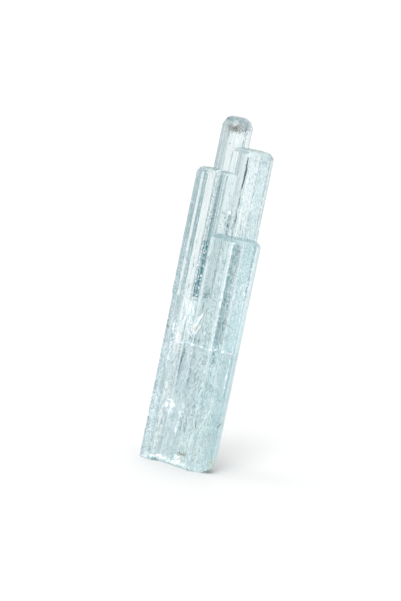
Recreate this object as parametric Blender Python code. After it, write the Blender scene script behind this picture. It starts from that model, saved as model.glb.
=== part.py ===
"""Aquamarine: a parallel growth of hexagonal beryl prisms, fused into one crystal.

Lengths are in metres. +Z is the crystals' c axis and +X and +Y lie across it. The crystal
stands on its broken base at z = 0, with the middle of its footprint on the Z axis.
All prisms are turned the same way, as intergrown crystals of beryl are. Going round from
the one at the back right, their faces are: back right, back, back left, left, front, right.
"""

import math
import random

import bmesh
import bpy
from mathutils import Matrix, Vector

MM = 0.001
NODE_NAME = "aquamarine_crystal"

# The way each prism face looks, in degrees from +X. The front of the group looks to -Y.
FACE_TURN = 18.6
FACE_ANGLES = tuple(FACE_TURN + 30 + 60 * k for k in range(6))
BACK_RIGHT, BACK, BACK_LEFT, LEFT, FRONT, RIGHT = range(6)

# Striations: long flat strips on the prism faces, parted by steep risers.
STRIP_WIDTH = (0.20 * MM, 0.80 * MM)
STRIP_DEPTH = 0.10 * MM
RISER = 0.04 * MM
LEDGE_COUNT = 4  # heights at which strips change their depth
LEDGE_CHANCE = 0.35
LEDGE_RAMP = 0.4 * MM

# The prisms start below the base, each at its own depth, and one flat cut ends them all.
BELOW_BASE = (0.3 * MM, 0.7 * MM)

# Each prism is given by "near", the corner between its left and front faces, and "widths",
# those of its back left, left, front and right faces. "trim" is the width of the narrow
# faces along its edges. "ends" are the slopes round its flat end, each as its width on
# the faces, its width on the edges and its angle. "chips" are broken off its base.
PRISMS = {
    "front": {
        "near": (1.96 * MM, -6.25 * MM),
        "widths": (2.6 * MM, 5.45 * MM, 4.30 * MM, 2.98 * MM),
        "height": 40.2 * MM,
        "trim": 0.34 * MM,
        "ends": ((0.75 * MM, 0.85 * MM, 34), (0.28 * MM, 0.45 * MM, 60)),
        "chips": (
            ((4.4 * MM, -5.2 * MM, 0.0), (0.52, -0.08, -0.80)),
            ((6.05 * MM, -4.8 * MM, 1.2 * MM), (0.86, -0.10, -0.50)),
            ((1.9 * MM, -5.95 * MM, 0.0), (-0.1, -0.8, -0.6)),
        ),
        "seed": 3,
    },
    "left": {
        "near": (-4.68 * MM, -3.05 * MM),
        "widths": (2.5 * MM, 2.45 * MM, 1.79 * MM, 4.2 * MM),
        "height": 50.75 * MM,
        "trim": 0.30 * MM,
        "ends": ((0.45 * MM, 0.6 * MM, 42),),
        "chips": (
            ((-5.8 * MM, -1.9 * MM, 0.0), (-0.75, -0.5, -0.45)),
            ((-3.9 * MM, -2.55 * MM, 0.0), (0.25, -0.8, -0.65)),
        ),
        "seed": 5,
    },
    "left_strip": {
        "near": (-4.80 * MM, -3.24 * MM),
        "widths": (2.2 * MM, 2.55 * MM, 0.75 * MM, 3.0 * MM),
        "height": 50.4 * MM,
        "foot": 28.6 * MM,
        "trim": 0.24 * MM,
        "ends": ((0.35 * MM, 0.5 * MM, 45),),
        "seed": 9,
    },
    "left_inner": {
        "near": (-1.97 * MM, -1.37 * MM),
        "widths": (2.4 * MM, 1.3 * MM, 2.5 * MM, 2.0 * MM),
        "height": 50.55 * MM,
        "trim": 0.16 * MM,
        "ends": ((0.35 * MM, 0.45 * MM, 40),),
        "seed": 8,
    },
    "seam": {
        "near": (-2.45 * MM, -2.80 * MM),
        "widths": (1.5 * MM, 1.3 * MM, 1.2 * MM, 1.7 * MM),
        "height": 28.3 * MM,
        "trim": 0.16 * MM,
        "ends": ((0.25 * MM, 0.3 * MM, 50),),
        "seed": 34,
    },
    "right": {
        "near": (1.44 * MM, -1.68 * MM),
        "widths": (3.0 * MM, 3.87 * MM, 4.05 * MM, 2.7 * MM),
        "height": 54.9 * MM,
        "trim": 0.32 * MM,
        "ends": ((0.8 * MM, 1.0 * MM, 40), (0.25 * MM, 0.4 * MM, 62)),
        "seed": 13,
    },
    "back": {
        "near": (-2.13 * MM, 1.0 * MM),
        "widths": (3.1 * MM, 2.60 * MM, 2.96 * MM, 3.03 * MM),
        "height": 59.7 * MM,
        "trim": 0.30 * MM,
        "ends": ((1.3 * MM, 1.5 * MM, 30), (0.75 * MM, 0.95 * MM, 60)),
        "seed": 21,
    },
}


def direction(degrees):
    """The unit vector across the crystal that looks this way."""
    angle = math.radians(degrees)
    return Vector((math.cos(angle), math.sin(angle)))


def along(face):
    """The unit vector that runs along a face, with the crystal on its left."""
    return direction(FACE_ANGLES[face] + 90)


def corners(prism):
    """The corner where each face begins, going round counter-clockwise."""
    back_left, left, front, right = prism["widths"]
    near = Vector(prism["near"])
    found = {FRONT: near, LEFT: near - along(LEFT) * left}
    found[RIGHT] = near + along(FRONT) * front
    found[BACK_RIGHT] = found[RIGHT] + along(RIGHT) * right
    found[BACK] = found[BACK_RIGHT] + along(BACK_RIGHT) * (left + back_left - right)
    found[BACK_LEFT] = found[LEFT] - along(BACK_LEFT) * back_left
    return [found[face] for face in range(6)]


def strips(length, rng):
    """Random strips along a face: where each starts and ends, how deep it is and its tilt."""
    found, at = [], 0.0
    while at < length:
        width = rng.uniform(*STRIP_WIDTH)
        if length - at - width < STRIP_WIDTH[0]:
            width = length - at
        depth = -rng.random() * STRIP_DEPTH
        found.append((at, at + width, depth, rng.uniform(-0.4, 0.4) * STRIP_DEPTH))
        at += width
    return found


def wall_points(prism):
    """The outline, as points with their outward direction and their depths between ledges."""
    rng = random.Random(prism["seed"])
    starts = corners(prism)
    points = []
    for face in range(6):
        run, out = along(face), direction(FACE_ANGLES[face])
        start = starts[face] + run * prism["trim"] / math.sqrt(3)
        end = starts[(face + 1) % 6] - run * prism["trim"] / math.sqrt(3)
        for first, last, depth, tilt in strips((end - start).dot(run), rng):
            depths = [depth]
            for _ in range(LEDGE_COUNT):
                changed = -rng.random() * STRIP_DEPTH
                depths.append(changed if rng.random() < LEDGE_CHANCE else depths[-1])
            points.append((start + run * (first + RISER / 2), out, [d + tilt / 2 for d in depths]))
            points.append((start + run * (last - RISER / 2), out, [d - tilt / 2 for d in depths]))
    return points


def wall(name, prism):
    """A closed striated prism that reaches past both of its ends."""
    spare = 1.0 * MM
    foot = prism.get("foot", 0.0)
    rng = random.Random(prism["seed"] + 1)
    tall = prism["height"] - foot
    levels = [(foot - spare, 0)]
    for block in range(LEDGE_COUNT):
        z = foot + tall * (block + rng.uniform(0.3, 0.9)) / LEDGE_COUNT
        levels += [(z - LEDGE_RAMP / 2, block), (z + LEDGE_RAMP / 2, block + 1)]
    levels.append((prism["height"] + spare, LEDGE_COUNT))
    outline = wall_points(prism)
    bm = bmesh.new()
    rows = []
    for z, block in levels:
        places = [point + out * depths[block] for point, out, depths in outline]
        rows.append([bm.verts.new((place.x, place.y, z)) for place in places])
    for low, high in zip(rows, rows[1:]):
        for i in range(len(low)):
            j = (i + 1) % len(low)
            bm.faces.new((low[i], low[j], high[j], high[i]))
    bm.faces.new(rows[-1])
    bm.faces.new(list(reversed(rows[0])))
    return solid_object(name, bm)


def solid_object(name, bm):
    bmesh.ops.triangulate(bm, faces=[f for f in bm.faces if len(f.verts) > 3])
    bmesh.ops.recalc_face_normals(bm, faces=bm.faces)
    mesh = bpy.data.meshes.new(name)
    bm.to_mesh(mesh)
    bm.free()
    obj = bpy.data.objects.new(name, mesh)
    bpy.context.scene.collection.objects.link(obj)
    return obj


def cut_off(bm, point, normal):
    """Takes away what lies beyond a plane, and closes the cut with one flat face."""
    everything = list(bm.verts) + list(bm.edges) + list(bm.faces)
    cut = bmesh.ops.bisect_plane(
        bm, geom=everything, plane_co=point, plane_no=normal, clear_outer=True, dist=1e-9
    )
    edges = [e for e in cut["geom_cut"] if isinstance(e, bmesh.types.BMEdge)]
    if edges:
        bmesh.ops.contextual_create(bm, geom=edges)


def block(middle, size, bottom, top):
    """A square block between two heights."""
    bm = bmesh.new()
    place = Matrix.Translation((middle.x, middle.y, (bottom + top) / 2))
    bmesh.ops.create_cube(bm, size=1, matrix=place @ Matrix.Diagonal((size, size, top - bottom, 1)))
    return bm


def slope_plane(corner, towards, width, slope, height):
    """A slope of the end: its plane meets the flat end this far in from the corner."""
    out = direction(towards)
    at = corner - out * width
    tilt = math.radians(slope)
    normal = Vector((out.x * math.sin(tilt), out.y * math.sin(tilt), math.cos(tilt)))
    return Vector((at.x, at.y, height)), normal


def envelope(name, prism):
    """A convex body with the prism's end slopes and chips: the wall is cut to it."""
    rng = random.Random(prism["seed"] + 2)
    foot = prism.get("foot", -rng.uniform(*BELOW_BASE))
    starts = corners(prism)
    bm = block(sum(starts, Vector((0, 0))) / 6, 3 * max(prism["widths"]), foot, prism["height"])
    for face_width, edge_width, slope in prism["ends"]:
        for face in range(6):
            vary = rng.uniform(0.75, 1.25)
            steep = slope * rng.uniform(0.85, 1.15)
            towards = FACE_ANGLES[face]
            cut_off(bm, *slope_plane(starts[face], towards, face_width * vary, steep, prism["height"]))
            vary = rng.uniform(0.75, 1.25)
            towards -= 30
            cut_off(bm, *slope_plane(starts[face], towards, edge_width * vary, steep, prism["height"]))
    for point, normal in prism.get("chips", ()):
        cut_off(bm, Vector(point), Vector(normal).normalized())
    return solid_object(name, bm)


def boolean(target, other, operation):
    """Joins, cuts or intersects target with other, and removes other."""
    modifier = target.modifiers.new("boolean", "BOOLEAN")
    modifier.operation = operation
    modifier.solver = "EXACT"
    modifier.object = other
    graph = bpy.context.evaluated_depsgraph_get()
    made = bpy.data.meshes.new_from_object(target.evaluated_get(graph))
    target.modifiers.clear()
    target.data = made
    bpy.data.objects.remove(other)


def centre(obj):
    """Moves the middle of the crystal's footprint onto the Z axis."""
    xs = [v.co.x for v in obj.data.vertices]
    ys = [v.co.y for v in obj.data.vertices]
    middle = Vector(((min(xs) + max(xs)) / 2, (min(ys) + max(ys)) / 2, 0))
    obj.data.transform(Matrix.Translation(-middle))


def aquamarine():
    made = bpy.data.materials.new("aquamarine")
    made.use_nodes = True
    shader = made.node_tree.nodes["Principled BSDF"]
    shader.inputs["Base Color"].default_value = (0.55, 0.80, 0.82, 1)
    shader.inputs["Roughness"].default_value = 0.05
    shader.inputs["Metallic"].default_value = 0
    shader.inputs["IOR"].default_value = 1.577
    shader.inputs["Transmission Weight"].default_value = 1
    return made


def main():
    for obj in list(bpy.data.objects):
        bpy.data.objects.remove(obj)
    crystal = None
    for name, prism in PRISMS.items():
        grown = wall(name, prism)
        boolean(grown, envelope(name + "_end", prism), "INTERSECT")
        if crystal is None:
            crystal = grown
        else:
            boolean(crystal, grown, "UNION")
    tallest = max(prism["height"] for prism in PRISMS.values())
    above_base = block(Vector((0, 0)), tallest, 0, 2 * tallest)
    boolean(crystal, solid_object("above_base", above_base), "INTERSECT")
    centre(crystal)
    crystal.name = NODE_NAME
    crystal.data.materials.clear()
    crystal.data.materials.append(aquamarine())


main()
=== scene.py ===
"""The look of the aquamarine crystal: its material, what is inside and on it, and the studio."""

import math
import random

import bmesh
import bpy
from mathutils import Matrix, Quaternion, Vector
from mathutils.bvhtree import BVHTree


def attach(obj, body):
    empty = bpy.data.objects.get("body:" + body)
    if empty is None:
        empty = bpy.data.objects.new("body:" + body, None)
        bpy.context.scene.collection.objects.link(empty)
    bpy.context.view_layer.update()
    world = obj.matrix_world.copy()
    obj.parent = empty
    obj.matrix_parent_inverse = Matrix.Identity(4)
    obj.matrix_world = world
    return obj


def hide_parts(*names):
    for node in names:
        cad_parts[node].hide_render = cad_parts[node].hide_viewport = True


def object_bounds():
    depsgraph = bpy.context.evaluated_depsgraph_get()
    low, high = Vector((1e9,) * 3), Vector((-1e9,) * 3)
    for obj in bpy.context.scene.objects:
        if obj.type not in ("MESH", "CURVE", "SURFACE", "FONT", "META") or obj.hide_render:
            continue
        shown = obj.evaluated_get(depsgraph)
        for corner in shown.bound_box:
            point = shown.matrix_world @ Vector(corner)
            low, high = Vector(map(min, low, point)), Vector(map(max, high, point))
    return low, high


MM = 0.001

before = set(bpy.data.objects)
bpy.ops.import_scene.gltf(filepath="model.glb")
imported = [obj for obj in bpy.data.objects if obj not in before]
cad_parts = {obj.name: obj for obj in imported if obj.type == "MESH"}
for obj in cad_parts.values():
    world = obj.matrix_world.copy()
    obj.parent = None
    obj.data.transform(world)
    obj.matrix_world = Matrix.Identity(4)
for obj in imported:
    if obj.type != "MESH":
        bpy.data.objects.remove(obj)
cad_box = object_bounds()
NODE = "aquamarine_crystal"


def mm(*sizes):
    """These sizes in metres."""
    return tuple(size * MM for size in sizes)


def new_object(name, data):
    """A new object in the scene."""
    made = bpy.data.objects.new(name, data)
    bpy.context.scene.collection.objects.link(made)
    return made


# ---------------------------------------- building node trees

def feed(socket, value):
    """Gives an input a value, or links another node's output to it."""
    if isinstance(value, bpy.types.NodeSocket):
        socket.id_data.links.new(value, socket)
    else:
        socket.default_value = value


def set_inputs(made, **inputs):
    """Feeds some of a node's inputs, by name."""
    for key, value in inputs.items():
        feed(made.inputs[key.replace("_", " ")], value)


def node(tree, kind, settings=(), **inputs):
    """A new node, with its settings and its inputs."""
    made = tree.nodes.new("ShaderNode" + kind)
    for key, value in dict(settings).items():
        setattr(made, key, value)
    set_inputs(made, **inputs)
    return made


def maths(tree, operation, *values):
    """What a Math node makes of its inputs."""
    made = node(tree, "Math", {"operation": operation})
    for socket, value in zip(made.inputs, values):
        feed(socket, value)
    return made.outputs[0]


def smooth(tree, value, low, high, to_low=0.0, to_high=1.0):
    """A smooth step of a value between two limits."""
    return node(tree, "MapRange", {"interpolation_type": "SMOOTHSTEP"}, Value=value, From_Min=low,
                From_Max=high, To_Min=to_low, To_Max=to_high).outputs["Result"]


def mix_colours(tree, share, first, second):
    """A mix of two colours."""
    return node(tree, "Mix", {"data_type": "RGBA"}, Factor=share, A=first, B=second).outputs["Result"]


def noise(tree, place, sizes, detail=3.0):
    """Noise in the crystal's own space, whose features have about this size along x, y and z."""
    mapped = node(tree, "Mapping", Vector=place, Scale=[1 / size for size in sizes]).outputs[0]
    return node(tree, "TexNoise", Vector=mapped, Scale=1.0, Detail=detail, Roughness=0.5).outputs["Fac"]


def new_material(name):
    """A new material, its nodes and its shader."""
    material = bpy.data.materials.new(name)
    material.use_nodes = True
    return material, material.node_tree, material.node_tree.nodes["Principled BSDF"]


# ---------------------------------------- camera and studio

PX_MM = 0.17  # what one pixel of the picture covers at the crystal
PICTURE = (401, 601)
LEAN = 11.7  # degrees that the crystal leans to the right in the picture
CAMERA_HEIGHT = 8.0  # degrees above the horizon
CAMERA_DISTANCE = 1.0
CAMERA_CLIP = (0.01, 20)
SENSOR_WIDTH = 36
AIM = Vector((-1.57 * MM, 0, 28.1 * MM))


def direction(degrees):
    """The unit vector across the crystal that looks this way, from +X."""
    angle = math.radians(degrees)
    return Vector((math.cos(angle), math.sin(angle)))


def make_camera():
    """The camera at the photograph's angle, rolled by the crystal's lean."""
    data = bpy.data.cameras.new("camera")
    data.sensor_width = SENSOR_WIDTH
    data.lens = data.sensor_width * CAMERA_DISTANCE / (PICTURE[1] * PX_MM * MM)
    data.clip_start, data.clip_end = CAMERA_CLIP
    camera = new_object("camera", data)
    rise = math.radians(CAMERA_HEIGHT)
    back = Vector((0, -math.cos(rise), math.sin(rise)))
    camera.location = AIM + back * CAMERA_DISTANCE
    camera.rotation_mode = "QUATERNION"
    upright = (-back).to_track_quat("-Z", "Y")
    camera.rotation_quaternion = upright @ Quaternion((0, 0, 1), math.radians(LEAN))
    bpy.context.scene.camera = camera
    bpy.context.scene.view_settings.view_transform = "Standard"


# How bright the studio is all round the crystal: degrees from +X, going left, and the level.
# The backdrop is behind (90), the key side is to the left (180) and the camera is at 270.
ROUND_LEVELS = (
    (0, 0.54), (14, 0.54), (28, 0.66), (36, 0.73), (45, 0.77), (60, 0.86), (72, 0.97), (84, 1.0),
    (97, 1.0), (112, 0.97), (130, 0.93), (160, 0.98), (200, 0.95), (235, 0.60), (270, 0.46),
    (315, 0.46), (345, 0.52), (360, 0.54),
)
SHADE_RED, SHADE_BLUE = 1.2, 0.95  # the darker parts of the studio are a little cooler
OVERHEAD_FROM, OVERHEAD_TO = 0.30, 0.60  # the sine of the height where the top light begins
OVERHEAD_COLOUR = (1.15, 1.15, 1.15, 1)
BACKDROP_COLOUR = (1, 1, 1, 1)  # what the camera itself sees


def make_world():
    """The studio all round, and the plain white that the camera sees behind the crystal."""
    world = bpy.data.worlds.new("studio")
    bpy.context.scene.world = world
    world.use_nodes = True
    tree = world.node_tree
    x, y, z = node(tree, "SeparateXYZ", Vector=node(tree, "TexCoord").outputs["Generated"]).outputs
    turn = maths(tree, "WRAP", maths(tree, "ARCTAN2", y, x), math.tau, 0)
    ramp = node(tree, "ValToRGB", Fac=maths(tree, "DIVIDE", turn, math.tau))
    stops = ramp.color_ramp.elements
    while len(stops) > 1:
        stops.remove(stops[-1])
    for i, (degrees, level) in enumerate(ROUND_LEVELS):
        stop = stops[0] if i == 0 else stops.new(degrees / 360)
        stop.position = degrees / 360
        stop.color = (level ** SHADE_RED, level, level ** SHADE_BLUE, 1)
    overhead = smooth(tree, z, OVERHEAD_FROM, OVERHEAD_TO)
    dome = mix_colours(tree, overhead, ramp.outputs["Color"], OVERHEAD_COLOUR)
    from_camera = node(tree, "LightPath").outputs["Is Camera Ray"]
    seen = mix_colours(tree, from_camera, dome, BACKDROP_COLOUR)
    set_inputs(tree.nodes["Background"], Color=seen, Strength=1)


FLOOR_COLOUR = (0.505, 0.505, 0.505, 1)
FLOOR_ROUGHNESS = 0.7
FLOOR_RADIUS = 3.0
FLOOR_SEGMENTS = 96
FLOOR_DROP = 0.02 * MM  # the gap that keeps the floor and the crystal's base apart


def make_floor():
    """A plain pale floor. It doesn't show through the crystal, where the studio does."""
    bm = bmesh.new()
    bmesh.ops.create_circle(bm, cap_ends=True, segments=FLOOR_SEGMENTS, radius=FLOOR_RADIUS)
    mesh = bpy.data.meshes.new("floor")
    bm.to_mesh(mesh)
    bm.free()
    floor = new_object("floor", mesh)
    floor.location.z = -FLOOR_DROP
    material, _, shader = new_material("floor_white")
    set_inputs(shader, Base_Color=FLOOR_COLOUR, Roughness=FLOOR_ROUGHNESS)
    mesh.materials.append(material)
    floor.visible_transmission = False


# Each lamp: where it stands round the crystal, from +X, how high and how wide, in degrees, and
# its strength. The three keys are one tall soft box.
LAMPS = {
    "key_46": (254, 46, 15, 0.98),
    "key_61": (254, 61, 15, 0.98),
    "key_77": (254, 77, 15, 0.62),
    "back_light": (95, 74, 26, 0.42),
    "side_light": (195, 66, 28, 0.56),
}


def distant_light(name, turn, rise, spread, strength):
    """A soft distant light from this direction round the crystal and height, in degrees."""
    data = bpy.data.lights.new(name, "SUN")
    data.energy = strength
    data.angle = math.radians(spread)
    light = new_object(name, data)
    level = math.cos(math.radians(rise))
    source = Vector((*(direction(turn) * level), math.sin(math.radians(rise))))
    light.rotation_mode = "QUATERNION"
    light.rotation_quaternion = (-source).to_track_quat("-Z", "Y")


# ---------------------------------------- the crystal's shape

# The way each prism face looks, in degrees from +X. The front of the group looks to -Y.
FACE_TURN = 18.6
FACE_ANGLES = tuple(FACE_TURN + 30 + 60 * k for k in range(6))
BACK_RIGHT, BACK, BACK_LEFT, LEFT, FRONT, RIGHT = range(6)

STRIP_WIDTH = mm(0.15, 0.6)
STRIP_DEPTH = 0.05 * MM
STRIP_TILT = 3.0  # degrees, at most, either way
LINE_CHANCE = 0.24  # how often a strip is a narrow steep one
LINE_WIDTH = mm(0.06, 0.17)
LINE_TILT = (8, 26)  # degrees, either way
RISER = 0.02 * MM  # the width of the step between two strips
LEDGE_COUNT = 5  # heights at which strips change their depth
LEDGE_CHANCE = 0.3
LEDGE_STRAY = (0.2, 0.9)  # where in its share of the height each ledge lies
LEDGE_RAMP = 0.25 * MM
SPARE = 1.0 * MM  # how far a prism's wall reaches past both of its ends
BELOW_BASE = mm(0.3, 0.7)
END_WIDTH_VARY = (0.75, 1.25)  # how the slopes round an end differ from one another
END_SLOPE_VARY = (0.85, 1.15)

# The prisms are those of the solid: "near" is the corner between the left and front faces,
# "widths" are those of the back left, left, front and right faces, "trim" is the width of
# the narrow faces along the edges, "ends" are the slopes round the flat end, each as its
# width on the faces, its width on the edges and its angle, and "chips" are broken off the
# base. "marks" are strips that stand out: the face, where it starts and ends along the
# face, its depth, its tilt in degrees, and the heights that it runs between.
PRISMS = {
    "front": dict(
        near=mm(1.96, -6.25), widths=mm(2.6, 5.45, 4.3, 2.98), height=40.2 * MM, trim=0.34 * MM, seed=3,
        ends=((*mm(0.75, 0.85), 34), (*mm(0.28, 0.45), 60)),
        chips=((mm(4.4, -5.2, 0), (0.52, -0.08, -0.8)), (mm(6.05, -4.8, 1.2), (0.86, -0.1, -0.5)),
               (mm(1.9, -5.95, 0), (-0.1, -0.8, -0.6))),
        marks=((LEFT, *mm(2.62, 2.76, -0.12), 0, *mm(27, 41)),),
    ),
    "left": dict(
        near=mm(-4.68, -3.05), widths=mm(2.5, 2.45, 1.79, 4.2), height=50.75 * MM, trim=0.3 * MM, seed=5,
        ends=((*mm(0.45, 0.6), 42),),
        chips=((mm(-5.8, -1.9, 0), (-0.75, -0.5, -0.45)), (mm(-3.9, -2.55, 0), (0.25, -0.8, -0.65))),
    ),
    "left_strip": dict(
        near=mm(-4.8, -3.24), widths=mm(2.2, 2.55, 0.75, 3), height=50.4 * MM, trim=0.24 * MM, seed=9,
        foot=28.6 * MM, ends=((*mm(0.35, 0.5), 45),),
        marks=((LEFT, *mm(0.31, 0.9, 0), -10, *mm(28, 51)), (LEFT, *mm(1.06, 1.58, 0.02), 28, *mm(28, 51)),
               (LEFT, *mm(1.76, 2.24, 0), -10, *mm(28, 51))),
    ),
    "left_inner": dict(
        near=mm(-1.97, -1.37), widths=mm(2.4, 1.3, 2.5, 2), height=50.55 * MM, trim=0.16 * MM, seed=8,
        ends=((*mm(0.35, 0.45), 40),),
    ),
    "seam": dict(
        near=mm(-2.45, -2.8), widths=mm(1.5, 1.3, 1.2, 1.7), height=28.3 * MM, trim=0.16 * MM, seed=34,
        ends=((*mm(0.25, 0.3), 50),),
    ),
    "right": dict(
        near=mm(1.44, -1.68), widths=mm(3, 3.87, 4.05, 2.7), height=54.9 * MM, trim=0.32 * MM, seed=13,
        ends=((*mm(0.8, 1), 40), (*mm(0.25, 0.4), 62)),
    ),
    "back": dict(
        near=mm(-2.13, 1), widths=mm(3.1, 2.6, 2.96, 3.03), height=59.7 * MM, trim=0.3 * MM, seed=21,
        ends=((*mm(1.3, 1.5), 30), (*mm(0.75, 0.95), 60)),
    ),
}


def along(face):
    """The unit vector that runs along a face, with the crystal on its left."""
    return direction(FACE_ANGLES[face] + 90)


def corners(prism):
    """The corner where each face begins, going round counter-clockwise."""
    back_left, left, front, right = prism["widths"]
    near = Vector(prism["near"])
    found = {FRONT: near, LEFT: near - along(LEFT) * left}
    found[RIGHT] = near + along(FRONT) * front
    found[BACK_RIGHT] = found[RIGHT] + along(RIGHT) * right
    found[BACK] = found[BACK_RIGHT] + along(BACK_RIGHT) * (left + back_left - right)
    found[BACK_LEFT] = found[LEFT] - along(BACK_LEFT) * back_left
    return [found[face] for face in range(6)]


def middle_of(plan):
    """The middle of a prism's six corners."""
    return sum(plan, Vector((0, 0))) / 6


def plain_strips(start, end, ledges, rng):
    """Random strips over one stretch: (start, end, tilt, [(height from which, depth)])."""
    found, at = [], start
    while at < end - 1e-9:
        steep = rng.random() < LINE_CHANCE
        width = rng.uniform(*(LINE_WIDTH if steep else STRIP_WIDTH))
        if steep:
            tilt = rng.choice((-1, 1)) * rng.uniform(*LINE_TILT)
        else:
            tilt = rng.uniform(-STRIP_TILT, STRIP_TILT)
        if end - at - width < LINE_WIDTH[0]:
            width = end - at
        steps = [(-1.0, -rng.random() * STRIP_DEPTH)]
        for z in ledges:
            if rng.random() < LEDGE_CHANCE:
                steps.append((z, -rng.random() * STRIP_DEPTH))
        found.append((at, at + width, tilt, steps))
        at += width
    return found


def face_strips(prism, face, length, ledges, rng):
    """All strips of a face: the marks, and plain strips between them."""
    marks = sorted(mark[1:] for mark in prism.get("marks", ()) if mark[0] == face)
    found, at = [], 0.0
    for first, last, depth, tilt, bottom, top in marks:
        found += plain_strips(at, first, ledges, rng)
        found.append((first, last, tilt, [(-1.0, 0.0), (bottom, depth), (top, 0.0)]))
        at = last
    return found + plain_strips(at, length, ledges, rng)


def depth_at(steps, z):
    """How deep a strip is at this height: it changes over a short ramp at each step."""
    depth = steps[0][1]
    for height, after in steps[1:]:
        share = min(1, max(0, (z - height) / LEDGE_RAMP + 0.5))
        depth += (after - depth) * share
    return depth


def wall(name, prism):
    """A closed striated prism that reaches past both of its ends."""
    foot = prism.get("foot", 0.0)
    rng = random.Random(prism["seed"])
    tall = prism["height"] - foot
    ledges = [foot + tall * (k + rng.uniform(*LEDGE_STRAY)) / LEDGE_COUNT for k in range(LEDGE_COUNT)]
    starts = corners(prism)
    outline = []
    for face in range(6):
        run, out = along(face), direction(FACE_ANGLES[face])
        start = starts[face] + run * prism["trim"] / math.sqrt(3)
        end = starts[(face + 1) % 6] - run * prism["trim"] / math.sqrt(3)
        for first, last, tilt, steps in face_strips(prism, face, (end - start).dot(run), ledges, rng):
            rise = math.tan(math.radians(tilt)) * (last - first) / 2
            outline.append((start + run * (first + RISER / 2), out, rise, steps))
            outline.append((start + run * (last - RISER / 2), out, -rise, steps))
    low, high = foot - SPARE, prism["height"] + SPARE
    changes = {height for _, _, _, steps in outline for height, _ in steps[1:]}
    inside = [z for z in changes if low < z - LEDGE_RAMP and z + LEDGE_RAMP < high]
    levels = [low] + sorted({z + side * LEDGE_RAMP / 2 for z in inside for side in (-1, 1)}) + [high]
    bm = bmesh.new()
    rows = []
    for z in levels:
        places = [point + out * (rise + depth_at(steps, z)) for point, out, rise, steps in outline]
        rows.append([bm.verts.new((place.x, place.y, z)) for place in places])
    close_rows(bm, rows)
    return solid_object(name, bm)


def close_rows(bm, rows):
    """Faces between rows of vertices that each go round a body, and one face at either end."""
    for low, high in zip(rows, rows[1:]):
        for i in range(len(low)):
            j = (i + 1) % len(low)
            bm.faces.new((low[i], low[j], high[j], high[i]))
    bm.faces.new(rows[-1])
    bm.faces.new(list(reversed(rows[0])))


def solid_object(name, bm):
    """An object made of flat triangles that face outwards."""
    bmesh.ops.triangulate(bm, faces=[f for f in bm.faces if len(f.verts) > 3])
    bmesh.ops.recalc_face_normals(bm, faces=bm.faces)
    mesh = bpy.data.meshes.new(name)
    bm.to_mesh(mesh)
    bm.free()
    return new_object(name, mesh)


def cut_off(bm, point, normal):
    """Takes away what lies beyond a plane, and closes the cut with one flat face."""
    everything = list(bm.verts) + list(bm.edges) + list(bm.faces)
    cut = bmesh.ops.bisect_plane(
        bm, geom=everything, plane_co=point, plane_no=normal, clear_outer=True, dist=1e-9
    )
    edges = [e for e in cut["geom_cut"] if isinstance(e, bmesh.types.BMEdge)]
    if edges:
        bmesh.ops.contextual_create(bm, geom=edges)


def block(middle, size, bottom, top):
    """A square block between two heights."""
    bm = bmesh.new()
    place = Matrix.Translation((middle.x, middle.y, (bottom + top) / 2))
    bmesh.ops.create_cube(bm, size=1, matrix=place @ Matrix.Diagonal((size, size, top - bottom, 1)))
    return bm


def slope_plane(corner, towards, width, slope, height):
    """A slope of the end: its plane meets the flat end this far in from the corner."""
    out = direction(towards)
    at = corner - out * width
    tilt = math.radians(slope)
    normal = Vector((out.x * math.sin(tilt), out.y * math.sin(tilt), math.cos(tilt)))
    return Vector((at.x, at.y, height)), normal


def envelope(name, prism):
    """A convex body with the prism's end slopes and chips: the wall is cut to it."""
    rng = random.Random(prism["seed"] + 2)
    foot = prism.get("foot", -rng.uniform(*BELOW_BASE))
    starts = corners(prism)
    bm = block(middle_of(starts), 3 * max(prism["widths"]), foot, prism["height"])
    for face_width, edge_width, slope in prism["ends"]:
        for face in range(6):
            width = face_width * rng.uniform(*END_WIDTH_VARY)
            steep = slope * rng.uniform(*END_SLOPE_VARY)
            towards = FACE_ANGLES[face]
            cut_off(bm, *slope_plane(starts[face], towards, width, steep, prism["height"]))
            width = edge_width * rng.uniform(*END_WIDTH_VARY)
            cut_off(bm, *slope_plane(starts[face], towards - 30, width, steep, prism["height"]))
    for point, normal in prism.get("chips", ()):
        cut_off(bm, Vector(point), Vector(normal).normalized())
    return solid_object(name, bm)


def boolean(target, other, operation):
    """Joins, cuts or intersects target with other, and removes other."""
    modifier = target.modifiers.new("boolean", "BOOLEAN")
    modifier.operation = operation
    modifier.solver = "EXACT"
    modifier.object = other
    graph = bpy.context.evaluated_depsgraph_get()
    made = bpy.data.meshes.new_from_object(target.evaluated_get(graph))
    target.modifiers.clear()
    target.data = made
    bpy.data.objects.remove(other)


# Flat hollows inside, where two crystals have not quite grown together: both ends in plan, and
# the heights between which each one stands. They mirror the dark side of the studio.
UPRIGHT_HOLLOWS = (
    (mm(2.05, -5.45), mm(3.36, -3.96), *mm(21.3, 39.6)),
    (mm(-0.03, -3.75), mm(0.34, -3.47), *mm(29.5, 39.5)),
    (mm(5.05, -0.3), mm(5.27, -0.05), *mm(39, 54)),
    (mm(1.22, -1.15), mm(1.4, -0.93), *mm(36, 54)),
    (mm(-2.55, 0.12), mm(-1.45, 1.22), *mm(28, 50.2)),
)
HOLLOW_SEED = 4
HOLLOW_GAP = 0.02 * MM
HOLLOW_STRIP = 0.28 * MM  # each hollow is a row of strips of about this width
HOLLOW_FROM, HOLLOW_TO = -0.04, 1.04  # the part of its place that a strip takes: they overlap
HOLLOW_STRAY = 0.025 * MM
HOLLOW_FOOT_STRAY = 1.2 * MM
HOLLOW_HEAD_STRAY = 0.4  # of what the foot strays


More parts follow.
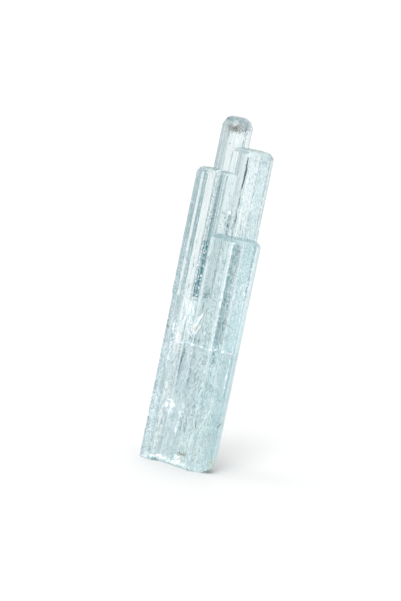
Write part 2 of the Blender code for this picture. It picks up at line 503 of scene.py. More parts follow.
def upright_hollows(start, end, bottom, top, rng):
    """Thin closed walls of empty space side by side, from start to end in plan."""
    start, end = Vector(start), Vector(end)
    count = max(1, round((end - start).length / HOLLOW_STRIP))
    aside = (end - start).normalized().orthogonal()
    for k in range(count):
        first = start.lerp(end, (k + HOLLOW_FROM) / count) + aside * rng.uniform(-1, 1) * HOLLOW_STRAY
        last = start.lerp(end, (k + HOLLOW_TO) / count) + aside * rng.uniform(-1, 1) * HOLLOW_STRAY
        plan = [first - aside * HOLLOW_GAP / 2, last - aside * HOLLOW_GAP / 2,
                last + aside * HOLLOW_GAP / 2, first + aside * HOLLOW_GAP / 2]
        low = bottom + rng.uniform(0, HOLLOW_FOOT_STRAY)
        high = top - rng.uniform(0, HOLLOW_FOOT_STRAY) * HOLLOW_HEAD_STRAY
        bm = bmesh.new()
        close_rows(bm, [[bm.verts.new((point.x, point.y, z)) for point in plan] for z in (low, high)])
        yield solid_object("hollow", bm)


def grow_crystal():
    """The whole cluster as one closed body, in the place of the solid."""
    cluster = None
    for name, prism in PRISMS.items():
        grown = wall(name, prism)
        boolean(grown, envelope(name + "_end", prism), "INTERSECT")
        if cluster is None:
            cluster = grown
        else:
            boolean(cluster, grown, "UNION")
    tallest = max(prism["height"] for prism in PRISMS.values())
    above_base = solid_object("above_base", block(Vector((0, 0)), tallest, 0, 2 * tallest))
    boolean(cluster, above_base, "INTERSECT")
    rng = random.Random(HOLLOW_SEED)
    for place in UPRIGHT_HOLLOWS:
        for hollow in upright_hollows(*place, rng):
            boolean(cluster, hollow, "DIFFERENCE")
    cluster.name = "aquamarine"
    return cluster


BEYOND = 50 * MM  # further back than any of the crystals


def front_y(x, z):
    """How far forward the crystal's surface is, at this place seen from the front."""
    found = BEYOND
    for prism in PRISMS.values():
        if not prism.get("foot", 0.0) <= z <= prism["height"]:
            continue
        plan = corners(prism)
        for a, b in zip(plan, plan[1:] + plan[:1]):
            if min(a.x, b.x) <= x <= max(a.x, b.x) and abs(b.x - a.x) > 1e-9:
                found = min(found, a.y + (b.y - a.y) * (x - a.x) / (b.x - a.x))
    return found


def under_front(x, z, depth):
    """The place this deep behind the front surface."""
    return Vector((x, front_y(x, z) + depth, z))


# ---------------------------------------- what is inside and on it

# The numbers of the flaws and of the painted shade are in mm, unless they say otherwise.

LOWEST = 0.25  # no flake of a cloud or of the haze is nearer to the base
FLAKE_CORNERS = (4, 6)
FLAKE_UNEVEN = 0.3  # how far a corner of the rim strays from its even place, in corners
FLAKE_REACH = (0.5, 1.1)  # how far the corners of the rim are from the middle, in radii
RIBBON_TIP = 0.15  # how wide a ribbon's ends are, in shares of its width
RIBBON_THICKNESS = 0.3  # in shares of its width


def is_inside(shell, place):
    """Whether a place lies inside the crystal: what is straight above it then looks up."""
    _, normal, _, _ = shell.ray_cast(place, (0, 0, 1))
    return normal is not None and normal.z > 0


def add_flake(bm, middle, radius, facing, rng, stretch=1.0, plump=0.3, shell=None):
    """One closed chip with an irregular outline: its rim lies across facing.

    With a shell, a chip that would stick out of the crystal is left out.
    """
    facing = Vector(facing).normalized()
    side = facing.orthogonal().normalized()
    up = facing.cross(side)
    count = rng.randint(*FLAKE_CORNERS)
    turn = rng.uniform(0, math.tau)
    ring = []
    for k in range(count):
        angle = turn + math.tau * (k + rng.uniform(-FLAKE_UNEVEN, FLAKE_UNEVEN)) / count
        arm = (side * math.cos(angle) + up * math.sin(angle)) * radius * rng.uniform(*FLAKE_REACH)
        arm.z *= stretch
        ring.append(middle + arm)
    caps = [middle + facing * radius * plump * way for way in (1, -1)]
    if shell and not all(is_inside(shell, place) for place in ring + caps):
        return
    ring = [bm.verts.new(place) for place in ring]
    caps = [bm.verts.new(place) for place in caps]
    for k in range(count):
        j = (k + 1) % count
        bm.faces.new((ring[k], ring[j], caps[0]))
        bm.faces.new((ring[j], ring[k], caps[1]))


def any_way(rng, upright=1.0):
    """A random direction. A low upright keeps it across the crystal, for chips that stand."""
    turn = rng.uniform(0, math.tau)
    return Vector((math.cos(turn), math.sin(turn), rng.uniform(-1, 1) * upright))


def add_ribbon(bm, points, width, facing):
    """A thin closed strip along points, tapered to both ends."""
    facing = Vector(facing).normalized()
    rows = []
    last = len(points) - 1
    for k, point in enumerate(points):
        run = (points[min(k + 1, last)] - points[max(k - 1, 0)]).normalized()
        side = run.cross(facing).normalized()
        half = width / 2 * max(RIBBON_TIP, math.sin(math.pi * (k + 0.4) / (last + 0.8)))
        rows.append([bm.verts.new(point + offset) for offset in (
            side * half, facing * half * RIBBON_THICKNESS,
            -side * half, -facing * half * RIBBON_THICKNESS)])
    close_rows(bm, rows)


def jagged(start, end, count, wander, rng):
    """Points from start to end that wander off the straight line, less so near both ends."""
    found = []
    for k in range(count + 1):
        share = k / count
        stray = Vector([rng.uniform(-wander, wander) for _ in range(3)])
        found.append(start.lerp(end, share) + stray * min(1, 4 * share, 4 * (1 - share)))
    return found


def inside_piece(name, bm, material):
    """Finishes one piece that lies in or on the crystal, and fixes it to the part."""
    piece = solid_object(name, bm)
    piece.data.materials.append(material)
    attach(piece, "root")


CLOUD_DEPTH = (0.15, 0.9)
CLOUD_CHIP = (0.35, 1.0)  # the radii of its chips, in shares of the largest
CLOUD_UPRIGHT = 0.4


def add_cloud(bm, cloud, rng, shell):
    """A cloud of chips behind the front surface.

    The cloud is its middle's x and z, its half width and half height, how many chips, their
    largest radius and how far they are drawn out along the crystal, all in mm, and then how
    shallow and how deep it lies where that isn't CLOUD_DEPTH.
    """
    x, z, half_wide, half_high, count, size, stretch = cloud[:7]
    shallow, deep = cloud[7:] or CLOUD_DEPTH
    for _ in range(count):
        at_x = x + rng.gauss(0, half_wide / 2)
        at_z = max(LOWEST, z + rng.gauss(0, half_high / 2))
        middle = under_front(at_x * MM, at_z * MM, rng.uniform(shallow, deep) * MM)
        radius = rng.uniform(*CLOUD_CHIP) * size * MM
        facing = any_way(rng, CLOUD_UPRIGHT)
        add_flake(bm, middle, radius, facing, rng, stretch=rng.uniform(1, stretch), shell=shell)


def clouds(name, places, seed, material, shell):
    """One piece with all the clouds of one kind."""
    rng = random.Random(seed)
    bm = bmesh.new()
    for place in places:
        add_cloud(bm, place, rng, shell)
    inside_piece(name, bm, material)


WHITE_CLOUDS = (
    # the veil beside the long crack
    (-3.05, 27.2, 0.5, 1.1, 44, 0.07, 3), (-3.3, 26.4, 0.14, 1, 26, 0.08, 4),
    (-2.45, 26.3, 0.12, 0.8, 18, 0.07, 4), (-2.8, 24.3, 0.14, 1.2, 22, 0.07, 5),
    (-5, 22.9, 0.14, 1, 34, 0.1, 4), (-4.25, 21.6, 0.16, 0.7, 30, 0.1, 4),
    (-4, 27.8, 0.08, 0.8, 16, 0.09, 4), (-3.6, 24.5, 0.1, 1.6, 22, 0.08, 6),
    # the patch low on the left
    (-3.7, 9.85, 0.24, 0.4, 110, 0.12, 1.2, 0.05, 0.3), (-2.72, 10, 0.36, 0.54, 240, 0.13, 1.2, 0.05, 0.3),
    (-3.1, 10.75, 0.5, 0.1, 50, 0.09, 1, 0.05, 0.25), (-4.2, 9.6, 0.16, 0.6, 16, 0.08, 1.2, 0.05, 0.3),
    (-2.85, 9.1, 0.2, 0.3, 50, 0.09, 1.2, 0.05, 0.25),
    # bright upright lines
    (3.74, 30, 0.04, 9, 90, 0.07, 8), (4.6, 33, 0.04, 7, 70, 0.07, 8), (5.44, 28, 0.06, 9, 100, 0.07, 8),
    (6.2, 31, 0.05, 8, 50, 0.06, 8), (5.8, 34, 0.1, 7, 90, 0.06, 8), (4.2, 31, 1.2, 10, 260, 0.035, 20),
    (-3.25, 45.5, 0.1, 6, 80, 0.06, 8), (-3.25, 34.5, 0.1, 6, 70, 0.06, 8),
    (1.98, 46, 0.2, 9, 220, 0.06, 8), (3.6, 47.5, 0.12, 7.5, 120, 0.06, 8),
    (4.6, 46.5, 0.9, 8, 240, 0.035, 20), (-3.95, 54.5, 0.05, 4, 44, 0.06, 6),
    (-1.12, 16.3, 0.08, 3.6, 120, 0.08, 6), (-4.85, 18, 0.12, 3, 60, 0.09, 5),
    (3.74, 12.8, 0.4, 2.4, 50, 0.06, 6), (5.27, 16.4, 0.14, 5.2, 90, 0.08, 7),
    # pale clouds and flecks
    (-1.1, 6.2, 0.16, 1.2, 60, 0.1, 3), (-0.85, 8.6, 0.22, 1.6, 60, 0.1, 3),
    (-0.75, 10.6, 0.3, 0.8, 50, 0.09, 2), (0.26, 43.95, 0.2, 0.26, 60, 0.16, 1, 0.03, 0.12),
    (0.4, 4.2, 0.6, 0.8, 40, 0.08, 2), (2.6, 18, 0.8, 0.8, 40, 0.09, 1.5),
    (0.1, 56.4, 0.2, 1.6, 50, 0.06, 5, 0.3, 1.2), (-0.9, 56.5, 0.9, 1, 60, 0.09, 3),
    (-5.6, 35.8, 0.45, 3.4, 90, 0.05, 2), (-4.1, 33, 0.35, 5, 60, 0.05, 3),
    # bright spots along the break
    (-1.36, 20.85, 0.24, 0.14, 50, 0.1, 1, 0.05, 0.4), (0.26, 20.95, 0.26, 0.12, 50, 0.1, 1, 0.05, 0.4),
    (1.79, 21.05, 0.2, 0.12, 40, 0.09, 1, 0.05, 0.4), (2.47, 21.1, 0.14, 0.12, 26, 0.09, 1, 0.05, 0.4),
    (3.91, 21.05, 0.16, 0.16, 50, 0.11, 1, 0.05, 0.4), (-4.9, 20.5, 0.3, 0.2, 20, 0.09, 2),
    (-3.5, 20.7, 0.5, 0.1, 30, 0.08, 1, 0.05, 0.4), (5, 21, 0.6, 0.1, 40, 0.07, 1, 0.05, 0.4),
    # the bright line on the front edge, and paler right faces
    (1.87, 30.5, 0.09, 12, 260, 0.055, 10, 0.04, 0.25), (2.9, 47, 0.9, 8, 200, 0.035, 20),
    (5, 31, 0.9, 9, 200, 0.035, 20), (0.35, 58.2, 0.3, 0.7, 70, 0.07, 2, 0.05, 0.4),
    # the lower part of the veil
    (-3.4, 26, 0.45, 2.2, 120, 0.06, 5), (-3.05, 25.2, 0.3, 1.6, 50, 0.06, 5),
)
BLUE_STREAKS = (
    (-2.58, 17.6, 0.22, 3.8, 190, 0.1, 8), (-0.72, 16.8, 0.16, 4.6, 70, 0.08, 9),
    (-0.45, 7.6, 0.14, 2.2, 44, 0.08, 9), (0.35, 7.6, 0.16, 2.2, 44, 0.08, 9),
    (-2.05, 21.7, 0.1, 0.6, 26, 0.09, 5), (-1.55, 21.7, 0.1, 0.7, 30, 0.09, 5),
    (-0.95, 21.8, 0.12, 0.8, 36, 0.09, 5), (-0.35, 21.9, 0.12, 0.7, 30, 0.09, 5),
    (-0.75, 29.7, 0.34, 1.2, 90, 0.12, 2), (-0.3, 30.4, 0.12, 1, 40, 0.1, 3),
    (0.3, 41.7, 0.5, 4, 420, 0.08, 3, 0.1, 0.8), (1.3, 44.5, 0.2, 6.5, 90, 0.07, 4),
    (-5.95, 22.3, 0.08, 1.4, 30, 0.09, 6), (-1.4, 59.2, 1.2, 0.24, 160, 0.12, 1.2, 0.9, 2.2),
    (0.15, 58.2, 0.45, 0.8, 140, 0.11, 2, 0.3, 1.4), (-1.3, 58.9, 1.9, 0.5, 420, 0.09, 1.2, 0.2, 1.8),
    (4.3, 53.4, 0.8, 0.5, 110, 0.05, 4, 0.1, 0.5), (2.6, 53.4, 0.5, 0.5, 50, 0.05, 4, 0.1, 0.5),
    (0.85, 41.5, 0.4, 3.6, 120, 0.07, 2, 0.05, 0.3), (1.45, 44.5, 0.14, 6.5, 110, 0.06, 2.5, 0.02, 0.2),
    (0.35, 42.2, 0.34, 2.4, 110, 0.08, 1.6, 0.02, 0.15),
)
# Painted shade: dark teal chips just behind the front, which draw the dark bands and lines down the faces.
TEAL_PAINTED_SHADE = (
    (2.45, 30.5, 0.24, 19, 300, 0.06, 14, 0.1, 0.7), (2.85, 30.5, 0.5, 19, 400, 0.06, 14, 0.1, 0.7),
    (-5.05, 43, 0.16, 13, 260, 0.06, 12, 0.1, 0.6), (-6.15, 43, 0.14, 13, 110, 0.06, 12, 0.1, 0.4),
    (-0.07, 34.5, 0.07, 8, 110, 0.05, 14, 0.1, 0.4), (5.36, 47, 0.05, 11, 110, 0.04, 16, 0.05, 0.3),
    (0.3, 16.5, 1.1, 7, 170, 0.06, 10), (3, 30.5, 0.36, 19, 190, 0.06, 14, 0.1, 0.7),
)
# Painted shade: grey-teal chips just under the front, which make parts of the crystal darker, as shade
# would.
PAINTED_SHADE_CLOUDS = (
    (0.9, 29, 1.2, 18, 800, 0.08, 8), (0.6, 10, 1.6, 20, 620, 0.09, 7), (3, 10, 3, 20, 620, 0.09, 7),
    (-3.9, 10, 0.6, 20, 420, 0.08, 7), (-1.85, 33.5, 0.14, 9, 150, 0.07, 8),
    (-0.45, 43.5, 0.45, 9, 160, 0.07, 8), (-4.1, 5.5, 0.7, 9, 320, 0.08, 8), (1, 16, 1.6, 8, 420, 0.08, 8),
    (0.4, 26, 0.8, 7, 200, 0.07, 8), (-1.3, 59.1, 1.9, 0.4, 420, 0.08, 1.2, 0.3, 1.8),
    (6.2, 10, 0.4, 20, 260, 0.07, 8),
)
MILKY_CLOUDS = (
    (-5.75, 20, 1, 12, 420, 0.09, 5), (-5.5, 7, 1, 11, 760, 0.09, 6), (-5, 23.5, 0.8, 3, 90, 0.09, 4),
    (-3.1, 25.2, 1.5, 3.4, 220, 0.07, 6), (-6.1, 34, 0.3, 9, 240, 0.06, 5),
    (-5.1, 34, 0.24, 8, 130, 0.06, 5), (-0.2, 56, 0.9, 2, 60, 0.1, 4), (-5.2, 7, 0.45, 11, 420, 0.08, 6),
)
GREEN_CLOUDS = (
    (3.6, 2.6, 2.2, 2.4, 300, 0.09, 2), (3.8, 6.5, 2.2, 4, 360, 0.07, 4),
    (5.6, 1.6, 0.6, 1.4, 420, 0.09, 1.6), (0.6, 3, 1.6, 1.2, 120, 0.09, 1.5),
)
SMOKY_CLOUDS = (
    (-1.6, 58, 1.6, 0.9, 760, 0.1, 1.2, 0.06, 0.7), (-2.35, 57.2, 0.26, 1.8, 60, 0.08, 3),
)


def across(rng, plan, reach=1):
    """A place within a prism's outline, as far as this share of the way out to its faces."""
    middle = middle_of(plan)
    i = rng.randrange(6)
    edge = plan[i].lerp(plan[(i + 1) % 6], rng.random())
    return middle.lerp(edge, reach * math.sqrt(rng.random()))


FROM_THE_END = 1.5 * MM
FROM_THE_FACES = 0.88  # how far out a place may be, in shares of the way to the faces


def inside_place(rng, low, high):
    """A place anywhere inside the crystals between two heights, away from their faces."""
    while True:
        prism = rng.choice(list(PRISMS.values()))
        z = rng.uniform(low, high)
        if prism.get("foot", 0) < z < prism["height"] - FROM_THE_END:
            place = across(rng, corners(prism), FROM_THE_FACES)
            return Vector((place.x, place.y, z))


# Streaks of fine chips: from and to which height, how many streaks, and how many chips in each.
HAZE = ((*mm(0.4, 20.5), 420, 20), (*mm(21.4, 39), 90, 12), (*mm(39, 57), 16, 8))
HAZE_RADIUS = mm(0.03, 0.1)
HAZE_HIGH = mm(0.3, 1.3)
HAZE_WIDE = (0.06, 0.3)
HAZE_STRETCH = (2, 7)
HAZE_NEAR_SHARE = 0.5  # how many of the streaks are near the front, and how deep
HAZE_NEAR_DEPTH = (0.15, 0.9)
HAZE_COVER = 0.1  # the least that each chip lies behind the front
HAZE_UPRIGHT = 0.5


def haze(material, shell):
    """The fine milky streaks all through, thickest in the lower third."""
    rng = random.Random(52)
    bm = bmesh.new()
    for low, high, streaks, count in HAZE:
        for _ in range(streaks):
            place = inside_place(rng, low, high)
            if rng.random() < HAZE_NEAR_SHARE:
                place = under_front(place.x, place.z, rng.uniform(*HAZE_NEAR_DEPTH) * MM)
            wide, tall = rng.uniform(*HAZE_WIDE) * MM, rng.uniform(*HAZE_HIGH)
            for _ in range(count):
                stray = Vector((rng.gauss(0, wide / 2), rng.gauss(0, wide / 2), rng.gauss(0, tall / 2)))
                middle = place + stray
                middle.z = max(LOWEST * MM, middle.z)
                middle.y = max(middle.y, front_y(middle.x, middle.z) + HAZE_COVER * MM)
                radius = rng.uniform(*HAZE_RADIUS)
                facing = any_way(rng, HAZE_UPRIGHT)
                stretch = rng.uniform(*HAZE_STRETCH)
                add_flake(bm, middle, radius, facing, rng, stretch=stretch, shell=shell)
    inside_piece("haze", bm, material)


FROSTED_ENDS = (("front", 2600), ("right", 2200), ("left", 900), ("back", 260))
END_FROST_DEPTH = mm(0.04, 0.6)
END_FROST_RADIUS = mm(0.04, 0.1)
END_FROST_TILT = 0.4
END_FROST_PLUMP = 0.15


def frosted_ends(material, shell):
    """Flat flakes just under the broad ends, which look matt and pale."""
    rng = random.Random(58)
    bm = bmesh.new()
    for name, count in FROSTED_ENDS:
        plan = corners(PRISMS[name])
        for _ in range(count):
            place = across(rng, plan)
            z = PRISMS[name]["height"] - rng.uniform(*END_FROST_DEPTH)
            lean = [rng.uniform(-END_FROST_TILT, END_FROST_TILT) for _ in range(2)]
            radius = rng.uniform(*END_FROST_RADIUS)
            middle = Vector((place.x, place.y, z))
            add_flake(bm, middle, radius, (*lean, 1), rng, plump=END_FROST_PLUMP, shell=shell)
    inside_piece("frosted_ends", bm, material)


FRACTURE_HEIGHT = 20.9 * MM
FRACTURE_COUNT = 420
FRACTURE_SPOTS = 26  # the chips gather round this many spots
FRACTURE_FROM, FRACTURE_TO = -6.2, 6.3  # in x
FRACTURE_WANDER = 0.11 * MM  # how far the spots are above and below the break
SPOT_SPREAD = 0.3
SPOT_ROUGH = 0.06
SPOT_DEPTHS = (0.06, 5, 9)  # the least, the usual in the deepest spots and the most
FRACTURE_TILTS = ((-0.5, 0.5), (-0.7, 0.3))
FRACTURE_CHIP = (0.03, 0.12)
FRACTURE_PLUMP = 0.4


def fracture(material, shell):
    """The flat break across the whole group, seen edge on: a net of white chips."""
    rng = random.Random(63)
    bm = bmesh.new()
    spots = [(rng.uniform(FRACTURE_FROM, FRACTURE_TO), rng.random(), rng.gauss(0, FRACTURE_WANDER))
             for _ in range(FRACTURE_SPOTS)]
    least, usual, most = SPOT_DEPTHS
    for _ in range(FRACTURE_COUNT):
        spot_x, spot_depth, rise = rng.choice(spots)
        x = min(FRACTURE_TO, max(-FRACTURE_TO, spot_x + rng.gauss(0, SPOT_SPREAD))) * MM
        depth = min(most, least + abs(rng.gauss(0, 1)) * usual * spot_depth ** 2) * MM
        middle = under_front(x, FRACTURE_HEIGHT, depth)
        middle.z += rise + rng.gauss(0, SPOT_ROUGH) * MM
        facing = (*(rng.uniform(*tilt) for tilt in FRACTURE_TILTS), 1)
        radius = rng.uniform(*FRACTURE_CHIP) * MM
        add_flake(bm, middle, radius, facing, rng, plump=FRACTURE_PLUMP, shell=shell)
    inside_piece("fracture_plane", bm, material)


# Each crack: its width, its depth behind the surface, and its route as points of x and z. A point
# may have a depth of its own.
GOLD_CRACKS = (
    (0.42, 0.2, ((-2.1, 24), (-1.8, 24.2), (-1.55, 23.7), (-1.65, 22.9))),
    (0.11, 0.05, ((-0.58, 26.9), (-0.95, 25.8), (-1.26, 24.8), (-1.34, 24.2))),
    (0.12, 0.05, ((-0.5, 24.6), (-0.72, 23.9), (-1.12, 22.9))),
    (0.14, 0.35, ((-0.55, 26.9), (-0.75, 26.3))), (0.16, 0.3, ((-1.3, 20.2), (-1.45, 19), (-1.35, 18))),
    (0.1, 0.05, ((-0.15, 27.2), (-0.45, 26.6), (-0.8, 25.6))),
    (0.1, 0.02, ((-1.2, 24.4), (-1.5, 23.7), (-1.95, 23.1))),
)
WHITE_CRACKS = (
    (0.3, 0.12, ((-0.5, 26.8), (-0.85, 25.9), (-1.15, 24.9), (-1.22, 24.1))),
    (0.3, 0.12, ((-0.6, 24.6), (-0.85, 23.8), (-1.32, 22.5))),
    (0.2, 0.2, ((-3.45, 28.4), (-3.1, 27), (-2.9, 25.6))), (0.18, 0.2, ((-2.55, 27.4), (-2.3, 26))),
    (0.2, 0.2, ((-2.72, 25.6), (-2.68, 23.8))), (0.13, 0.1, ((-0.76, 25.9), (-1.27, 24.7), (-1.6, 23.5))),
    (0.15, 0.1, ((-1.45, 24.7), (-1.78, 23.6))), (0.16, 0.1, ((-0.62, 26.5), (-1.02, 25.2), (-1.34, 24))),
    (0.16, 0.1, ((-1.8, 24), (-1.62, 23.2), (-1.7, 22.6))), (0.1, 0.1, ((-1.05, 26), (-1.4, 25.2))),
    (0.11, 0.2, ((-2.8, 23.5), (-2.4, 22.6), (-1.6, 22.2))),
    (0.12, 0.2, ((-0.72, 26.4), (-1.1, 25.3), (-1.45, 24.2))),
    (0.14, 0.2, ((-1.75, 24.5), (-2.05, 23.4), (-2, 22.8))),
    (0.16, 0.2, ((-4.95, 24.5), (-5.15, 23.4), (-5, 22.2))), (0.15, 0.2, ((-4.3, 22), (-4.1, 20.9))),
    (0.1, 0.2, ((4.2, 11.6), (3.4, 9.8), (2.2, 6.8))), (0.14, 0.1, ((-3.45, 9.3), (-2.9, 8.1))),
    (0.14, 0.1, ((-2.9, 8.1), (-2.45, 9.1))),
)
DARK_CRACKS = (
    (0.34, 0.02, ((1.5, 54.1), (1.52, 51), (1.5, 48))),
    (0.16, 0.02, ((1.5, 47.6), (1.52, 46), (1.5, 44.9))),
    (0.17, 0.02, ((1.48, 44.4), (1.52, 42.8), (1.48, 41.6))), (0.15, 0.02, ((1.5, 41.2), (1.5, 39.8))),
    (0.1, 0.15, ((-2.8, 22.9), (-2.75, 21.7))), (0.1, 0.1, ((-6.2, 24.2), (-6.2, 22.4))),
    (0.16, 0, ((6.3, 9.3, -0.01), (6, 8.8), (5.6, 8.1))),
    (0.07, 0.1, ((1.45, 26.2), (2, 25.8), (3.2, 25.9), (4.3, 25.4), (5.3, 24.8))),
    (0.12, 0.2, ((-0.8, 28.3), (-0.9, 27.6), (-0.65, 26.6))), (0.12, 0.1, ((-0.6, 19.4), (-0.8, 18.7))),
    (0.11, 0.1, ((1.7, 8.9), (1.9, 8), (1.95, 7.1))), (0.12, 0.1, ((1.75, 6.6), (1.45, 6.2))),
    (0.12, 0.1, ((0.6, 1.75), (0.2, 1.3), (-0.25, 0.9))),
    (0.05, 0.03, ((-0.22, 27), (-0.58, 26.2), (-0.95, 25.3), (-1.2, 24.4))),
    (0.05, 0.03, ((-0.72, 24.4), (-0.98, 23.6), (-1.38, 22.7))),
    (0.05, 0.03, ((-0.42, 24.5), (-0.66, 23.8), (-1, 23.1))),
)
CRACK_STEPS = 4  # the pieces that each stretch of a route is broken into
CRACK_WANDER = 0.07 * MM
CRACK_FACING = Vector((0.3, -1, 0.1))


def cracks(name, routes, seed, material):
    """One piece with all the cracks of one kind."""
    rng = random.Random(seed)
    bm = bmesh.new()
    for width, depth, route in routes:
        places = [under_front(x * MM, z * MM, (own or [depth])[0] * MM) for x, z, *own in route]
        points = [places[0]]
        for a, b in zip(places, places[1:]):
            points += jagged(a, b, CRACK_STEPS, CRACK_WANDER, rng)[1:]
        add_ribbon(bm, points, width * MM, CRACK_FACING)
    inside_piece(name, bm, material)


SPECKS = ((-6, 5.2), (3.4, 3.6), (3.06, 2.8), (2.55, 1.8), (-0.85, 20.1), (-1.9, 25.4), (5.55, 8.1))
SPECK_GRAINS = 4
SPECK_SPREAD = (0.05, 0.07)  # in x and in z
SPECK_DEPTH = 0.03
SPECK_RADIUS = (0.06, 0.11)
SPECK_PLUMP = 0.5


def specks(material):
    """Dark mineral grains at the surface."""
    rng = random.Random(74)
    bm = bmesh.new()
    for x, z in SPECKS:
        for _ in range(SPECK_GRAINS):
            at_x, at_z = (at + rng.gauss(0, spread) for at, spread in zip((x, z), SPECK_SPREAD))
            middle = under_front(at_x * MM, at_z * MM, SPECK_DEPTH * MM)
            radius = rng.uniform(*SPECK_RADIUS) * MM
            add_flake(bm, middle, radius, any_way(rng), rng, plump=SPECK_PLUMP)
    inside_piece("dark_specks", bm, material)


BROKEN_RIM = (
    # x from and to, z and its spread, and how many chips
    (-5.6, -4.9, 0.75, 0.35, 30), (-4.6, -3.9, 0.75, 0.12, 50), (-3.8, -2.6, 0.95, 0.14, 110),
    (-3.2, -1.6, 0.7, 0.16, 90), (-1.8, -0.6, 0.5, 0.16, 70), (-0.8, 1.6, 0.6, 0.22, 180),
    (-0.5, 0.5, 1.4, 0.28, 120), (1.6, 6, 0.35, 0.2, 70),
)
RIM_LOWEST = 0.18
RIM_DEPTH = (0.04, 0.3)
RIM_CHIP = (0.04, 0.13)
RIM_STRETCH = 1.2


def broken_rim(material, shell):
    """The white splintered edge round the broken base."""
    rng = random.Random(85)
    bm = bmesh.new()
    for start, end, z, spread, count in BROKEN_RIM:
        for _ in range(count):
            at_z = max(RIM_LOWEST, z + rng.gauss(0, spread)) * MM
            middle = under_front(rng.uniform(start, end) * MM, at_z, rng.uniform(*RIM_DEPTH) * MM)
            radius = rng.uniform(*RIM_CHIP) * MM
            add_flake(bm, middle, radius, any_way(rng), rng, stretch=RIM_STRETCH, shell=shell)
    inside_piece("broken_rim", bm, material)


STAINS = (
    # x, z, the half width and half height, and how many grains
    (0.65, 2.35, 0.8, 0.34, 170), (1.2, 1.2, 0.5, 0.3, 18), (5.9, 2, 0.3, 0.7, 26),
    (1.62, 7.25, 0.12, 0.35, 16), (-1.75, 23.6, 0.15, 0.35, 10), (4.9, 21.2, 0.6, 0.1, 12),
    (-0.9, 20.35, 0.15, 0.12, 8),
)
STAIN_LOWEST = 0.2
STAIN_DEPTH = (0.05, 0.4)
STAIN_GRAIN = (0.04, 0.1)


def stains(material, shell):
    """Iron-stained grains in small hollows of the surface."""
    rng = random.Random(96)
    bm = bmesh.new()
    for x, z, half_wide, half_high, count in STAINS:
        for _ in range(count):
            at_z = max(STAIN_LOWEST, z + rng.gauss(0, half_high / 2)) * MM
            at_x = (x + rng.gauss(0, half_wide / 2)) * MM
            middle = under_front(at_x, at_z, rng.uniform(*STAIN_DEPTH) * MM)
            radius = rng.uniform(*STAIN_GRAIN) * MM
            add_flake(bm, middle, radius, any_way(rng), rng, shell=shell)
    inside_piece("iron_stains", bm, material)


GROOVE_EDGE, GROOVE_BOTTOM, GROOVE_FAR = (-3.06, -2.46), (-2.66, -0.95), (-2.2, -1.22)
GROOVE_STRETCHES = (
    # the heights, the share of grains on the near side of the groove, their number, their size
    # and the share of them that are pale painted glints
    (28.8, 38.6, 0.62, 900, 0.18, 0.12), (38.6, 50, 0.62, 760, 0.11, 0),
)
GROOVE_TO_EDGE = 1.5  # powers of a random share: they gather the grains at the groove's edge
GROOVE_TO_FOOT = 1.15  # and at the foot of each stretch
GROOVE_STRAY_X, GROOVE_STRAY_Y = 0.06, 0.08
GROOVE_GRAIN = (0.3, 1)  # the radii of its grains, in shares of the largest
GROOVE_STRETCH = 1.5
GROOVE_PLUMP = 0.6


def groove_painted_shade(painted_shade_look, glint_look):
    """Painted shade in the groove between the two crystals on the left: rough dark grains, and a share of
    pale ones as painted glints.
    """
    rng = random.Random(17)
    dark, bright = bmesh.new(), bmesh.new()
    edge, bottom, far = (Vector(point) * MM for point in (GROOVE_EDGE, GROOVE_BOTTOM, GROOVE_FAR))
    for low, high, near_share, count, size, glint_share in GROOVE_STRETCHES:
        for _ in range(count):
            if rng.random() < near_share:
                place = edge.lerp(bottom, rng.random() ** GROOVE_TO_EDGE)
            else:
                place = bottom.lerp(far, rng.random())
            z = (low + (high - low) * rng.random() ** GROOVE_TO_FOOT) * MM
            right, forward = rng.uniform(0, GROOVE_STRAY_X) * MM, rng.uniform(0, GROOVE_STRAY_Y) * MM
            middle = Vector((place.x + right, place.y - forward, z))
            radius = rng.uniform(*GROOVE_GRAIN) * size * MM
            bm = bright if rng.random() < glint_share else dark
            add_flake(bm, middle, radius, any_way(rng), rng, stretch=GROOVE_STRETCH, plump=GROOVE_PLUMP)
    inside_piece("groove_painted_shade", dark, painted_shade_look)
    inside_piece("groove_painted_glints", bright, glint_look)


# ---------------------------------------- materials

BERYL_IOR = 1.577
ABSORB_COLOUR = (0.61, 0.86, 0.888, 1)
ABSORB_DENSITY = 72
CLEAR_ROUGHNESS = 0.02
FRONT_ROUGHNESS = 0.05
LOWER_ROUGHNESS = 0.05
END_ROUGHNESS = 0.32

# Where the crystal is duller: below the break, on the front crystal and on faces that look up.
LOWER_BLUR = 0.5 * MM
FRONT_BEFORE = mm(-2.8, -2.3)  # in y
FRONT_RIGHT_OF = mm(-2.6, -2.2)  # in x
END_FACES = (0.15, 0.35)  # the upward part of the normal

# Fine noise along the growth: the size of its features, and for bumps how deep they are.
DULL_STREAKS = mm(0.25, 0.25, 9)
DULL_VARY = 2.0
GROOVES, GROOVE_DEPTH = mm(0.09, 0.09, 7), 0.012 * MM
LINES, LINE_DEPTH = mm(0.08, 0.08, 2.4), 0.03 * MM
PITS, PIT_DEPTH = mm(0.35, 0.35, 0.9), 0.09 * MM
LINE_STRENGTH, LINE_LOWER = 0.15, 0.6  # everywhere, and what the lower part adds
PIT_STRENGTH, PIT_MATT = 0.08, 0.7  # everywhere, and what the matt ends add
FRONT_MATT, LOWER_MATT = 0.35, 0.5  # how matt these are beside the ends


